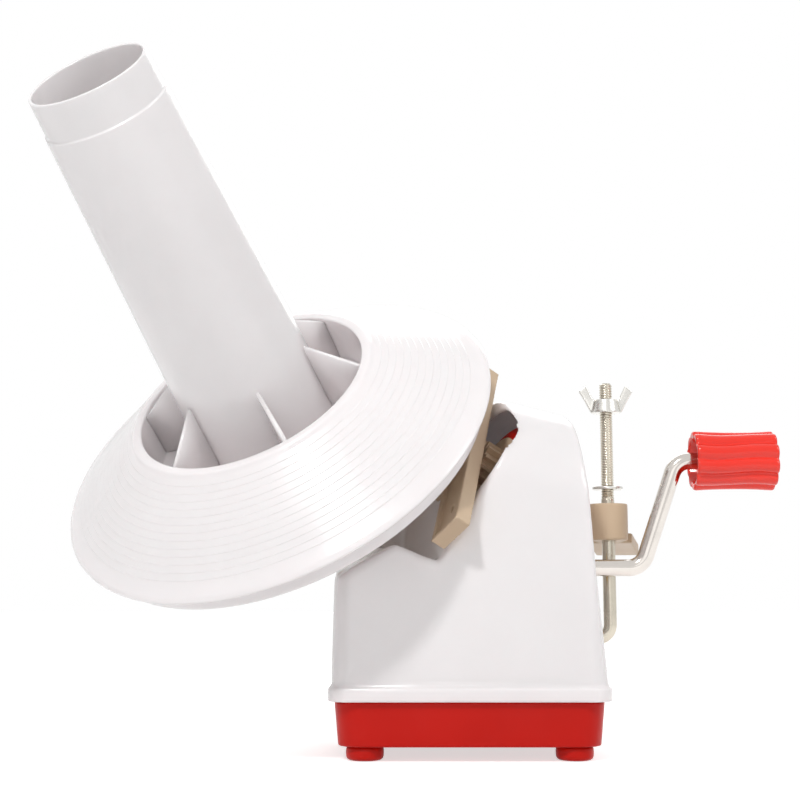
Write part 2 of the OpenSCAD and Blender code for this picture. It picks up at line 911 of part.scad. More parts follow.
// Conical winding disc: stepped top, rounded rim band, inner wall, floor and gussets
module winding_disc() {
    step_w = (disc_r - rim_band - hole_r - 3) / disc_steps;
    steps = [for (i = [0 : disc_steps - 1], k = [0, 1])
        let (r = disc_r - rim_band - (i + k * 0.999) * step_w,
             base = (disc_r - (disc_r - rim_band - i * step_w)) * cone_slope)
        [r, base + (k == 0 ? step_h : step_w * cone_slope)]];
    inner = hole_r - cone_t;
    color(white)
        at_bobbin() {
            difference() {
                rotate_extrude()
                    polygon(concat([[disc_r - 1.5, -rim_low], [disc_r, -2.5], [disc_r, 0.6], [disc_r - 1.2, 1.8]],
                                   steps,
                                   [[hole_r + 1, disc_rise], [hole_r - 1, disc_rise], [inner, disc_rise - 1.5],
                                    [inner, floor_z + cone_t], [tube_foot_r + 0.3, floor_z + cone_t],
                                    [tube_foot_r + 0.3, floor_z + 10], [tube_foot_r + 0.05, floor_z + 10],
                                    [tube_foot_r + 0.05, floor_z + cone_t], [hub_r + 0.1, floor_z + cone_t],
                                    [hub_r + 0.1, floor_z], [hole_r, floor_z],
                                    [hole_r, disc_rise - cone_t - 2],
                                    [disc_r - rim_band + 1, -0.6], [disc_r - cone_t, -2.2],
                                    [disc_r - cone_t, -rim_low]]));
                at_gear_screws(floor_z - 1)
                    cylinder(r = screw_r + seat_gap, h = cone_t + 2);
            }
            intersection() {
                for (i = [0 : gussets - 1])
                    rotate([0, 0, 360 / gussets * i + gusset_turn])
                        rotate([90, 0, 0])
                            linear_extrude(height = gusset_t, center = true)
                                polygon([[tube_foot_r + 0.2, floor_z + cone_t - tiny],
                                         [inner + 1, floor_z + cone_t - tiny], [inner + 1, disc_rise - 2],
                                         [tube_foot_r + 0.2, disc_rise + gusset_rise]]);
                translate([0, 0, floor_z])
                    ring(inner + 1, tube_foot_r + 0.1, disc_rise + 40);
            }
        }
}

module bobbin_tube() {
    foot = floor_z + cone_t;
    band = tube_top - band_h;
    taper = (tube_foot_r - tube_top_r) / (tube_top - foot);
    band_r = tube_foot_r - taper * (band - foot);
    color(white)
        at_bobbin()
            rotate_extrude()
                polygon([[tube_foot_r, foot], [band_r, band], [band_r - 0.5, band + 0.6],
                         [tube_top_r - 0.4, tube_top - 0.8], [tube_top_r - 1.1, tube_top],
                         [tube_top_r - tube_wall, tube_top - 0.6],
                         [tube_foot_r - tube_wall, foot + 2.5], [hub_r + 2, foot + 2.5], [hub_r + 2, foot]]);
}

module spindle_clip() {
    color(steel)
        at_bobbin()
            translate([0, 0, hub_top + 0.3])
                ring(spindle_r + 3, spindle_r + seat_gap, 1.2);
}

// Crank rod: axle, two bends, arm and the pin of the grip
module crank_rod() {
    color(steel)
        translate([0, axle_y, axle_z]) {
            translate([axle_in, 0, 0])
                rotate([0, 90, 0])
                    cylinder(r = rod_r, h = bend_x - axle_in + bend_lap);
            translate([bend_x, 0, 0])
                rod_bend(bend_r, arm_angle);
            translate([bend_x + run_bend, 0, rise_bend])
                rotate([0, 90 - arm_angle, 0])
                    translate([0, 0, -bend_lap])
                        cylinder(r = rod_r, h = arm_run + 2 * bend_lap);
            translate([arm_end_x, 0, throw_r - rise_bend])
                rotate([0, -arm_angle, 0])
                    mirror([0, 0, 1])
                        rod_bend(bend_r, arm_angle);
            translate([arm_end_x + run_bend - bend_lap, 0, throw_r])
                rotate([0, 90, 0])
                    cylinder(r = rod_r, h = rod_end - arm_end_x - run_bend + bend_lap);
        }
}

// Bend that starts at the origin along +X and turns up towards +Z, a hair fuller than the rod
module rod_bend(r, angle) {
    translate([0, 0, r])
        rotate([90, 0, 0])
            rotate([0, 0, -90])
                rotate_extrude(angle = angle)
                    translate([r, 0])
                        circle(rod_r + bend_swell);
}

module drive_gear() {
    color(beige)
        difference() {
            union() {
                translate([apex_x, axle_y, axle_z])
                    rotate([0, 90, 0])
                        rotate([0, 0, rest_drive()])
                            bevel_gear(drive_teeth, drive_angle, drive_far, bevel_face);
                at_axle(drive_x - boss_wall)
                    cylinder(r = rod_r + boss_wall + 2, h = boss_wall + 1.5 * bevel_face);
            }
            at_axle(drive_x - 2 * boss_wall)
                cylinder(r = rod_r + seat_gap, h = 4 * bevel_face);
        }
}

// Turn of the drive gear about the axle that brings its teeth into the pinion's gaps
function rest_drive() = atan2(head_dir[1], -head_dir[2]) + 180 / drive_teeth;

module axle_bushes() {
    color(brass) {
        at_axle(plate_x)
            ring(rod_r + bush_wall, rod_r + run_gap, frame_t + 2);
        at_axle(rear_x(axle_z) - axle_boss)
            ring(rod_r + bush_wall, rod_r + run_gap, axle_boss + boss_wall);
    }
}

module axle_clip() {
    color(steel)
        at_axle(rear_x(axle_z) - axle_boss - clip_t - hole_gap)
            ring(rod_r + 2.2, rod_r + seat_gap, clip_t);
}

module at_grip(x) {
    translate([x, axle_y, axle_z + throw_r])
        rotate([0, 90, 0])
            children();
}

module grip() {
    color(red)
        at_grip(grip_x)
            difference() {
                linear_extrude(height = grip_l)
                    polygon([for (i = [0 : 6 * flutes - 1])
                        let (a = 360 / (6 * flutes) * i, r = grip_d / 2 - 0.8 + 0.8 * cos(a * flutes))
                        [r * cos(a), r * sin(a)]]);
                translate([0, 0, -1])
                    cylinder(r = rod_r + run_gap, h = grip_l + 2);
                translate([0, 0, -1])
                    cylinder(r = grip_d / 2 - 5, h = 9);
                translate([0, 0, grip_l - 8])
                    cylinder(r = 8, h = 10);
            }
}

module grip_clip() {
    color(steel)
        at_grip(rod_end)
            translate([0, 0, -1.8])
                ring(rod_r + 2.5, rod_r + seat_gap, 1.2);
}

// Hook bolt: straight stem, bend and the leg that turns in the housing
module hook_bolt() {
    leg_out = bolt_x - hook_r;
    leg_in = rear_x(hook_z) - hook_in - 2 * clip_t - 1.6;
    color(steel) {
        at_bolt(hook_z + hook_r)
            cylinder(r = bolt_r, h = bolt_top - hook_z - hook_r);
        translate([leg_out, bolt_y, hook_z])
            translate([0, 0, hook_r])
                rotate([90, 0, 0])
                    rotate([0, 0, -90])
                        rotate_extrude(angle = 90)
                            translate([hook_r, 0])
                                circle(bolt_r);
        translate([leg_in, bolt_y, hook_z])
            rotate([0, 90, 0])
                cylinder(r = bolt_r, h = leg_out - leg_in);
    }
}

module hook_clip() {
    color(steel)
        translate([rear_x(hook_z) - hook_in - clip_t - 0.4, bolt_y, hook_z])
            rotate([0, 90, 0])
                ring(bolt_r + 2.5, bolt_r + seat_gap, clip_t);
}

module washer() {
    color(steel)
        at_bolt(washer_z)
            ring(7.5, bolt_r + run_gap, 1.5);
}

module wing_nut() {
    span = 13.5;
    color(steel)
        at_bolt(nut_z) {
            difference() {
                union() {
                    cylinder(r1 = bolt_r + 4, r2 = bolt_r + 2.6, h = 7);
                    for (s = [0, 180])
                        rotate([0, 0, s])
                            rotate([90, 0, 0])
                                linear_extrude(height = 2.4, center = true)
                                    polygon([[bolt_r + 1, 1], [bolt_r + 4.5, 0.5], [span - 3, 6],
                                             [span, 11], [span - 3.6, 14.5], [bolt_r + 3.4, 7.5],
                                             [bolt_r + 1, 6.5]]);
                }
                translate([0, 0, -1])
                    cylinder(r = bolt_r + run_gap, h = 20);
            }
        }
}

// Clamp jaw: boss on the bolt, upright web and the wedge that bites under the table
module clamp_jaw() {
    color(beige)
        at_bolt(jaw_z)
            rotate([0, 0, jaw_turn])
                difference() {
                    union() {
                        cylinder(r = jaw_r, h = jaw_h);
                        rotate([90, 0, 0])
                            linear_extrude(height = 12, center = true)
                                polygon([[0, 0], [jaw_l, -6], [jaw_l, 0], [jaw_l * 0.5, 6],
                                         [jaw_l * 0.42, jaw_h], [0, jaw_h]]);
                        rotate([90, 0, 0])
                            linear_extrude(height = 22, center = true)
                                polygon([[6, -1], [jaw_l, -6], [jaw_l, 0], [6, 4]]);
                    }
                    translate([0, 0, -10])
                        cylinder(r = bolt_r + run_gap, h = jaw_h + 20);
                }
}

base_tub();
feet();
base_screws();
housing_shell();
inner_frame();
frame_screws();
head_bushes();
sun_gear();
sun_screws();
main_shaft();
main_pinion();
shaft_clip();
shaft_nut();
carrier_arm();
spindle_bracket();
bracket_screws();
planet_shaft();
planet_gear();
planet_pinion();
bobbin_spindle();
bobbin_gear();
gear_screws();
lower_plate();
winding_disc();
bobbin_tube();
spindle_clip();
crank_rod();
drive_gear();
axle_bushes();
axle_clip();
grip();
grip_clip();
hook_bolt();
hook_clip();
washer();
wing_nut();
clamp_jaw();
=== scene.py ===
"""Looks of the hand-cranked yarn ball winder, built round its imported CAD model."""

import json
import math

import bmesh
import bpy
import numpy as np
from mathutils import Matrix, Vector


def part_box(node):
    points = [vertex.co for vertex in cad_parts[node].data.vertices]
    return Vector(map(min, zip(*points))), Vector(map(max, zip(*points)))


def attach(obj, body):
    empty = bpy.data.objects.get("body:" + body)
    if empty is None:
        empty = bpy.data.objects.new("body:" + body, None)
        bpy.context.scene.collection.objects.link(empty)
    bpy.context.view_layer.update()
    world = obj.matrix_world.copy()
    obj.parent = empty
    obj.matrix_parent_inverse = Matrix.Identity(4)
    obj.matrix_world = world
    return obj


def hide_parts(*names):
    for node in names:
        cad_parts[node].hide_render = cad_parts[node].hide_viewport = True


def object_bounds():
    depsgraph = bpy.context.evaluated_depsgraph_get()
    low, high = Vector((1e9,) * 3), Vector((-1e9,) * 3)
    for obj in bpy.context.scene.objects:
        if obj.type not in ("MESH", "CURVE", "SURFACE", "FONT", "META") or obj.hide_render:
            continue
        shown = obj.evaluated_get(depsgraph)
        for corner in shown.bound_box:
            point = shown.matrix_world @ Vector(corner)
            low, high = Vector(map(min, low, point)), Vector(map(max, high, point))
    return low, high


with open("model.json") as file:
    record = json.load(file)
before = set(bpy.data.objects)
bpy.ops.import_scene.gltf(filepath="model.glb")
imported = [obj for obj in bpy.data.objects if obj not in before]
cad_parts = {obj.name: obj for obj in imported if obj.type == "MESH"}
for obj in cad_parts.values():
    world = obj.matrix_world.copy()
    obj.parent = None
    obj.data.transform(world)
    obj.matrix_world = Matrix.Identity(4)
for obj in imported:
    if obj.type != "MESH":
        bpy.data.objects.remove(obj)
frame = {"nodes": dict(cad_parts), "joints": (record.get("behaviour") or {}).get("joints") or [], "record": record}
CAD_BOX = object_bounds()

bl_info = {
    "name": "Yarn ball winder",
    "version": (1, 0, 0),
    "blender": (4, 5, 0),
    "location": "View3D > Sidebar > Winder",
    "description": "Dresses the CAD model of a yarn ball winder and sets its studio",
    "category": "Object",
}

MM = 0.001
NODES = frame["nodes"]
JOINTS = {joint["name"]: joint for joint in frame["joints"]}
SLOT_OF = {part["node"]: part["material_slot"] for part in frame["record"]["subparts"]}
BODY_OF = {
    node: body
    for body, nodes in frame["record"]["behaviour"]["bodies"].items()
    for node in nodes
}


def colour(name, description, default):
    return bpy.props.FloatVectorProperty(
        name=name, description=description, default=default,
        size=3, min=0.0, max=1.0, subtype="COLOR",
    )


def length(name, description, default):
    return bpy.props.FloatProperty(
        name=name, description=description, default=default,
        min=0.0, precision=5, unit="LENGTH", subtype="DISTANCE",
    )


class WinderFinish(bpy.types.PropertyGroup):
    """Colours of the winder's materials"""

    white: colour("White", "Moulded housing, tube and discs", (0.91, 0.864, 0.868))
    red: colour("Base red", "Moulded base, feet and inner frame", (0.56, 0.007, 0.002))
    grip_red: colour("Grip red", "Brighter red of the crank's grip", (0.92, 0.026, 0.010))
    beige: colour("Beige", "Gears, carrier and clamp jaw", (0.60, 0.45, 0.305))
    nickel: colour("Nickel", "Crank rod", (0.64, 0.60, 0.56))
    zinc: colour("Zinc", "Hook bolt, shafts, screws and clips", (0.56, 0.515, 0.43))
    bright_zinc: colour("Bright zinc", "Wing nut and washer", (0.68, 0.665, 0.63))
    brass: colour("Brass", "Bearing bushes", (0.72, 0.50, 0.21))
    floor: colour("Floor", "Studio floor", (0.86, 0.86, 0.86))


class WinderShape(bpy.types.PropertyGroup):
    """Sizes of the winder's dressed pieces"""

    rim_below_cross: length("Rim below crossing", "From the axes' crossing to the disc's rim", 94 * MM)
    disc_r: length("Disc radius", "Outer radius of the winding disc", 106.4 * MM)
    hole_r: length("Hole radius", "Radius of the hole in the disc", 57.5 * MM)
    disc_rise: length("Disc rise", "Height of the hole's rim above the outer rim", 31 * MM)
    tube_foot_r: length("Tube foot radius", "Outer radius of the tube at its foot", 34 * MM)
    tube_top_r: length("Tube mouth radius", "Outer radius of the tube at its mouth", 26.4 * MM)
    tube_top: length("Tube height", "Height of the mouth above the disc's rim", 193 * MM)
    band_h: length("Mouth band", "Height of the band at the tube's mouth", 17 * MM)
    skirt: length("Disc skirt", "How far the disc's edge hangs below its rim", 1.4 * MM)
    corner_r: length("Corner radius", "Rounding of the upright corners of base and housing", 11 * MM)
    floor_z: length("Disc floor", "Height of the disc's floor above its rim", 5 * MM)
    plate_r: length("Plate radius", "Radius of the lower plate", 100 * MM)
    plate_low: length("Plate drop", "Depth of the lower plate's underside below the rim", 13.5 * MM)
    grip_flute: length("Flute depth", "Depth of the grip's flutes", 2.0 * MM)
    grip_waist: length("Grip waist", "How far the grip draws in at its middle", 0.7 * MM)
    thread_pitch: length("Thread pitch", "Pitch of the hook bolt's thread", 1.27 * MM)
    thread_depth: length("Thread depth", "Depth of the hook bolt's thread", 0.45 * MM)
    thread_start: length("Thread start", "Height where the hook bolt's thread begins", 112 * MM)
    floor_reach: length("Floor reach", "Half width of the studio floor", 6.0)


def finish():
    return bpy.context.scene.winder_finish


def shape():
    return bpy.context.scene.winder_shape


# Shader node groups


def new_group(name, inputs, outputs):
    """Empty shader group with its sockets.

    Each input is (name, type, default), and each output is (name, type)."""
    tree = bpy.data.node_groups.new(name, "ShaderNodeTree")
    for label, kind, default in inputs:
        socket = tree.interface.new_socket(label, in_out="INPUT", socket_type=kind)
        socket.default_value = default
    for label, kind in outputs:
        tree.interface.new_socket(label, in_out="OUTPUT", socket_type=kind)
    return tree, tree.nodes.new("NodeGroupInput"), tree.nodes.new("NodeGroupOutput")


def add_noise(tree, vector, scale, detail, roughness=0.5):
    node = tree.nodes.new("ShaderNodeTexNoise")
    node.inputs["Detail"].default_value = detail
    node.inputs["Roughness"].default_value = roughness
    tree.links.new(vector, node.inputs["Vector"])
    if isinstance(scale, (int, float)):
        node.inputs["Scale"].default_value = scale
    else:
        tree.links.new(scale, node.inputs["Scale"])
    return node.outputs["Fac"]


def add_range(tree, value, low, high, to_low=0.0, to_high=1.0):
    node = tree.nodes.new("ShaderNodeMapRange")
    tree.links.new(value, node.inputs["Value"])
    labels = ("From Min", "From Max", "To Min", "To Max")
    for socket, setting in zip(labels, (low, high, to_low, to_high)):
        if isinstance(setting, (int, float)):
            node.inputs[socket].default_value = setting
        else:
            tree.links.new(setting, node.inputs[socket])
    return node.outputs["Result"]


def add_math(tree, operation, first, second):
    node = tree.nodes.new("ShaderNodeMath")
    node.operation = operation
    for socket, setting in zip(node.inputs, (first, second)):
        if isinstance(setting, (int, float)):
            socket.default_value = setting
        else:
            tree.links.new(setting, socket)
    return node.outputs["Value"]


def add_mix(tree, factor, first, second):
    node = tree.nodes.new("ShaderNodeMix")
    node.data_type = "RGBA"
    tree.links.new(factor, node.inputs["Factor"])
    for label, setting in (("A", first), ("B", second)):
        socket = next(s for s in node.inputs if s.name == label and s.type == "RGBA")
        if isinstance(setting, tuple):
            socket.default_value = setting
        else:
            tree.links.new(setting, socket)
    return next(s for s in node.outputs if s.type == "RGBA")


SKIN_SHARE = 0.35
SURFACE_OUTPUTS = [
    ("Colour", "NodeSocketColor"), ("Roughness", "NodeSocketFloat"), ("Height", "NodeSocketFloat"),
]


def moulded_group():
    """Moulded plastic: soft flow clouds in colour and gloss, and a fine skin from the mould."""
    tree, given, out = new_group(
        "Moulded skin",
        [("Colour", "NodeSocketColor", (0.8, 0.8, 0.8, 1)),
         ("Cloud colour", "NodeSocketColor", (0.7, 0.7, 0.7, 1)),
         ("Cloud scale", "NodeSocketFloat", 18.0), ("Skin scale", "NodeSocketFloat", 900.0),
         ("Gloss low", "NodeSocketFloat", 0.2), ("Gloss high", "NodeSocketFloat", 0.35)],
        SURFACE_OUTPUTS,
    )
    place = tree.nodes.new("ShaderNodeTexCoord").outputs["Object"]
    cloud = add_noise(tree, place, given.outputs["Cloud scale"], detail=4)
    amount = add_range(tree, cloud, low=0.35, high=0.7)
    tint = add_mix(tree, amount, given.outputs["Colour"], given.outputs["Cloud colour"])
    smear = add_noise(tree, place, scale=70.0, detail=6, roughness=0.65)
    gloss = add_range(tree, smear, low=0.35, high=0.65,
                      to_low=given.outputs["Gloss low"], to_high=given.outputs["Gloss high"])
    skin = add_noise(tree, place, given.outputs["Skin scale"], detail=2)
    ripple = add_noise(tree, place, scale=45.0, detail=1)
    height = add_math(tree, "ADD", add_math(tree, "MULTIPLY", skin, SKIN_SHARE), ripple)
    tree.links.new(tint, out.inputs["Colour"])
    tree.links.new(gloss, out.inputs["Roughness"])
    tree.links.new(height, out.inputs["Height"])
    return tree


def wear_group():
    """Edge wear: a mask of the convex edges, broken up by noise."""
    tree, given, out = new_group(
        "Edge wear",
        [("Break-up scale", "NodeSocketFloat", 160.0), ("Amount", "NodeSocketFloat", 0.5)],
        [("Mask", "NodeSocketFloat")],
    )
    edge = tree.nodes.new("ShaderNodeNewGeometry").outputs["Pointiness"]
    place = tree.nodes.new("ShaderNodeTexCoord").outputs["Object"]
    ridge = add_range(tree, edge, low=0.52, high=0.62)
    speckle = add_noise(tree, place, given.outputs["Break-up scale"], detail=5)
    broken = add_range(tree, speckle, low=0.4, high=0.65)
    rubbed = add_math(tree, "MULTIPLY", ridge, broken)
    mask = add_math(tree, "MULTIPLY", rubbed, given.outputs["Amount"])
    tree.links.new(mask, out.inputs["Mask"])
    return tree


def dust_group():
    """Dust: a thin film on what faces up, broken into patches."""
    tree, given, out = new_group(
        "Settled dust",
        [("Patch scale", "NodeSocketFloat", 60.0), ("Amount", "NodeSocketFloat", 0.2)],
        [("Mask", "NodeSocketFloat")],
    )
    normal = tree.nodes.new("ShaderNodeNewGeometry").outputs["Normal"]
    split = tree.nodes.new("ShaderNodeSeparateXYZ")
    tree.links.new(normal, split.inputs[0])
    place = tree.nodes.new("ShaderNodeTexCoord").outputs["Object"]
    up = add_range(tree, split.outputs["Z"], low=0.2, high=1.0)
    speckle = add_noise(tree, place, given.outputs["Patch scale"], detail=7, roughness=0.7)
    patch = add_range(tree, speckle, low=0.42, high=0.7)
    lying = add_math(tree, "MULTIPLY", up, patch)
    mask = add_math(tree, "MULTIPLY", lying, given.outputs["Amount"])
    tree.links.new(mask, out.inputs["Mask"])
    return tree


def drawn_group():
    """Drawn and plated metal: streaks along the drawing direction and cloudy plating."""
    tree, given, out = new_group(
        "Drawn metal",
        [("Colour", "NodeSocketColor", (0.7, 0.7, 0.7, 1)),
         ("Tarnish", "NodeSocketColor", (0.4, 0.36, 0.3, 1)),
         ("Stretch", "NodeSocketVector", (300.0, 300.0, 20.0)),
         ("Tarnish amount", "NodeSocketFloat", 0.4),
         ("Gloss low", "NodeSocketFloat", 0.12), ("Gloss high", "NodeSocketFloat", 0.3)],
        SURFACE_OUTPUTS,
    )
    place = tree.nodes.new("ShaderNodeTexCoord").outputs["Object"]
    stretch = tree.nodes.new("ShaderNodeMapping")
    tree.links.new(place, stretch.inputs["Vector"])
    tree.links.new(given.outputs["Stretch"], stretch.inputs["Scale"])
    streak = add_noise(tree, stretch.outputs["Vector"], scale=4.0, detail=3)
    cloud = add_noise(tree, place, scale=110.0, detail=5, roughness=0.6)
    stain = add_range(tree, cloud, low=0.45, high=0.7)
    dull = add_math(tree, "MULTIPLY", stain, given.outputs["Tarnish amount"])
    tint = add_mix(tree, dull, given.outputs["Colour"], given.outputs["Tarnish"])
    gloss = add_range(tree, add_math(tree, "ADD", streak, cloud), low=0.75, high=1.25,
                      to_low=given.outputs["Gloss low"], to_high=given.outputs["Gloss high"])
    tree.links.new(tint, out.inputs["Colour"])
    tree.links.new(gloss, out.inputs["Roughness"])
    tree.links.new(streak, out.inputs["Height"])
    return tree


GROUP_MAKERS = {
    "Moulded skin": moulded_group,
    "Edge wear": wear_group,
    "Settled dust": dust_group,
    "Drawn metal": drawn_group,
}


def place_group(tree, name, **values):
    """Puts a shared group into a material, with its inputs set by name."""
    node = tree.nodes.new("ShaderNodeGroup")
    node.node_tree = bpy.data.node_groups.get(name) or GROUP_MAKERS[name]()
    for label, value in values.items():
        node.inputs[label.replace("_", " ")].default_value = value
    return node


def shade(rgb, factor):
    """A darker or lighter colour with alpha."""
    return tuple(min(1.0, c * factor) for c in rgb) + (1.0,)


# Materials

DUST_COLOUR = (0.62, 0.6, 0.58, 1.0)
DUST_ROUGHENS = 0.3
PLASTIC_RELIEF = 0.05 * MM
METAL_RELIEF = 0.02 * MM
GLOW_DEPTH = 5 * MM
RUBBED_PALE = 0.3
METAL_WEAR = 0.35
RUBBED_METAL = 1.2
TARNISHED_METAL = 0.55
# Scales of the streaks in metal along X, Y and Z; they run where the scale is small
ALONG_X, ALONG_Z, ALL_WAYS = (20.0, 300.0, 300.0), (300.0, 300.0, 20.0), (300.0, 300.0, 300.0)
CAST = (300.0, 300.0, 60.0)


def blank_material(name):
    material = bpy.data.materials.new(name)
    material.use_nodes = True
    tree = material.node_tree
    return material, tree, tree.nodes["Principled BSDF"]


def add_bump(tree, surface, height, distance, strength):
    bump = tree.nodes.new("ShaderNodeBump")
    bump.inputs["Distance"].default_value = distance
    bump.inputs["Strength"].default_value = strength
    tree.links.new(height, bump.inputs["Height"])
    tree.links.new(bump.outputs["Normal"], surface.inputs["Normal"])


def plastic(name, rgb, gloss, cloud, wear, dust, bump, coat=0.0, shine=0.5, glow=0.0):
    """Moulded plastic with flow clouds, worn edges and a film of dust."""
    material, tree, surface = blank_material(name)
    skin = place_group(tree, "Moulded skin", Colour=shade(rgb, 1.0), Cloud_colour=shade(rgb, cloud),
                       Gloss_low=gloss[0], Gloss_high=gloss[1])
    edge = place_group(tree, "Edge wear", Amount=wear)
    film = place_group(tree, "Settled dust", Amount=dust)
    rubbed = shade(tuple(c * (1 - RUBBED_PALE) + RUBBED_PALE for c in rgb), 1.0)
    worn = add_mix(tree, edge.outputs["Mask"], skin.outputs["Colour"], rubbed)
    dusty = add_mix(tree, film.outputs["Mask"], worn, DUST_COLOUR)
    dulled = add_math(tree, "MULTIPLY", film.outputs["Mask"], DUST_ROUGHENS)
    rough = add_math(tree, "ADD", skin.outputs["Roughness"], dulled)
    tree.links.new(dusty, surface.inputs["Base Color"])
    tree.links.new(rough, surface.inputs["Roughness"])
    add_bump(tree, surface, skin.outputs["Height"], PLASTIC_RELIEF, bump)
    surface.inputs["IOR"].default_value = 1.5
    surface.inputs["Specular IOR Level"].default_value = shine
    surface.inputs["Coat Weight"].default_value = coat
    surface.inputs["Coat Roughness"].default_value = 0.1
    surface.inputs["Subsurface Weight"].default_value = glow
    surface.inputs["Subsurface Radius"].default_value = (1.0, 0.9, 0.9)
    surface.inputs["Subsurface Scale"].default_value = GLOW_DEPTH
    return material


def metal(name, rgb, gloss, stretch, tarnish, bump):
    """Plated metal with drawing streaks and cloudy tarnish."""
    material, tree, surface = blank_material(name)
    drawn = place_group(tree, "Drawn metal", Colour=shade(rgb, 1.0),
                        Tarnish=shade(rgb, TARNISHED_METAL), Stretch=stretch, Tarnish_amount=tarnish,
                        Gloss_low=gloss[0], Gloss_high=gloss[1])
    edge = place_group(tree, "Edge wear", Amount=METAL_WEAR)
    worn = add_mix(tree, edge.outputs["Mask"], drawn.outputs["Colour"], shade(rgb, RUBBED_METAL))
    tree.links.new(worn, surface.inputs["Base Color"])
    tree.links.new(drawn.outputs["Roughness"], surface.inputs["Roughness"])
    add_bump(tree, surface, drawn.outputs["Height"], METAL_RELIEF, bump)
    surface.inputs["Metallic"].default_value = 1.0
    return material


def material_for(slot):
    """The material of a finish, made on first use."""
    tones, name = finish(), slot + "_look"
    found = bpy.data.materials.get(name)
    if found:
        return found
    makers = {
        "white_plastic": lambda: plastic(
            name, tones.white, (0.16, 0.26), cloud=0.965, wear=0.10, dust=0.05, bump=0.12,
            coat=0.25, glow=0.5),
        "red_plastic": lambda: plastic(
            name, tones.red, (0.3, 0.42), cloud=0.9, wear=0.03, dust=0.01, bump=0.25, shine=0.18),
        "grip_red": lambda: plastic(
            name, tones.grip_red, (0.12, 0.22), cloud=0.92, wear=0.006, dust=0.004, bump=0.12,
            coat=0.2, shine=0.4),
        "beige_plastic": lambda: plastic(
            name, tones.beige, (0.38, 0.52), cloud=0.9, wear=0.22, dust=0.06, bump=0.4),
        "nickel": lambda: metal(name, tones.nickel, (0.08, 0.18), ALONG_X, tarnish=0.15, bump=0.1),
        "zinc_steel": lambda: metal(name, tones.zinc, (0.18, 0.3), ALONG_Z, tarnish=0.3, bump=0.12),
        "bright_zinc": lambda: metal(name, tones.bright_zinc, (0.2, 0.3), CAST, tarnish=0.2, bump=0.08),
        "brass": lambda: metal(name, tones.brass, (0.2, 0.34), ALL_WAYS, tarnish=0.4, bump=0.15),
    }
    return makers[slot]()


# Shapes

SMOOTHING = 0.5
LEAST_SHARE = 0.01
FILLET_SHARE = 0.45


def add_piece(name, mesh, body, look, replaced):
    """Links a dressed mesh, gives it its look and lets it ride on its body in place of CAD nodes."""
    piece = bpy.data.objects.new(name, mesh)
    bpy.context.scene.collection.objects.link(piece)
    mesh.materials.clear()
    mesh.materials.append(material_for(look))
    mesh.polygons.foreach_set("use_smooth", [True] * len(mesh.polygons))
    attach(piece, body)
    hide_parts(*replaced)
    return piece


def evaluated_mesh(piece):
    depsgraph = bpy.context.evaluated_depsgraph_get()
    return bpy.data.meshes.new_from_object(piece.evaluated_get(depsgraph))


def add_smooth(piece, rounds):
    smooth = piece.modifiers.new("smooth", "SMOOTH")
    smooth.factor = SMOOTHING
    smooth.iterations = rounds
    return smooth


def softened_mesh(node, voxel, rounds, weigh=None, more_rounds=0, keep=1.0):
    """Copy of a CAD node's mesh with its edges rounded as a mould or casting rounds them.

    weigh gives each point a share of the further rounds, from 0 to 1.
    keep is the share of the faces that is left."""
    source = bpy.data.objects.new("softening", NODES[node].data.copy())
    bpy.context.scene.collection.objects.link(source)
    remesh = source.modifiers.new("remesh", "REMESH")
    remesh.mode = "VOXEL"
    remesh.voxel_size = voxel
    add_smooth(source, rounds)
    mesh = evaluated_mesh(source)
    if weigh:
        source.modifiers.clear()
        source.data = mesh
        group = source.vertex_groups.new(name="soft")
        points = np.empty(len(mesh.vertices) * 3, np.float32)
        mesh.vertices.foreach_get("co", points)
        for index, weight in enumerate(weigh(points.reshape(-1, 3))):
            if weight > LEAST_SHARE:
                group.add([index], float(weight), "REPLACE")
        add_smooth(source, more_rounds).vertex_group = group.name
        mesh = evaluated_mesh(source)
    if keep < 1.0:
        source.modifiers.clear()
        source.data = mesh
        source.modifiers.new("thin", "DECIMATE").ratio = keep
        mesh = evaluated_mesh(source)
    bpy.data.objects.remove(source)
    return mesh


def soften(name, node, voxel, rounds, weigh=None, more_rounds=0, keep=1.0, look=None):
    """Puts a softened copy in a CAD node's place."""
    mesh = softened_mesh(node, voxel, rounds, weigh, more_rounds, keep)
    slot = SLOT_OF[node]
    return add_piece(name, mesh, BODY_OF[node], look or slot, [node])


def round_corners(mesh, half_x, half_y, sharp):
    """Draws in the upright corners of a box-shaped moulding.

    Their radius goes from sharp to the one that base and housing share."""
    radius = shape().corner_r
    inset = radius - sharp
    for vertex in mesh.vertices:
        x, y = abs(vertex.co.x) - half_x + radius, abs(vertex.co.y) - half_y + radius
        if min(x, y) <= 0:
            continue
        away = math.hypot(x, y)
        if inset * max(x, y) >= radius * min(x, y):
            edge = radius * away / max(x, y)
        else:
            along = inset * (x + y) / away
            edge = along + math.sqrt(along ** 2 - 2 * inset ** 2 + sharp ** 2)
        vertex.co.x = math.copysign(half_x - radius + x * radius / edge, vertex.co.x)
        vertex.co.y = math.copysign(half_y - radius + y * radius / edge, vertex.co.y)


def fillet(profile, radius, steps=4):
    """Closed profile of (radius, height) points with its corners rounded."""
    points = [Vector(p) for p in profile]
    rounded = []
    for before, corner, after in zip(points[-1:] + points[:-1], points, points[1:] + points[:1]):
        back, ahead = before - corner, after - corner
        reach = min(radius, FILLET_SHARE * back.length, FILLET_SHARE * ahead.length)
        start = corner + back.normalized() * reach
        end = corner + ahead.normalized() * reach
        for i in range(steps + 1):
            t = i / steps
            rounded.append((1 - t) ** 2 * start + 2 * t * (1 - t) * corner + t ** 2 * end)
    return rounded


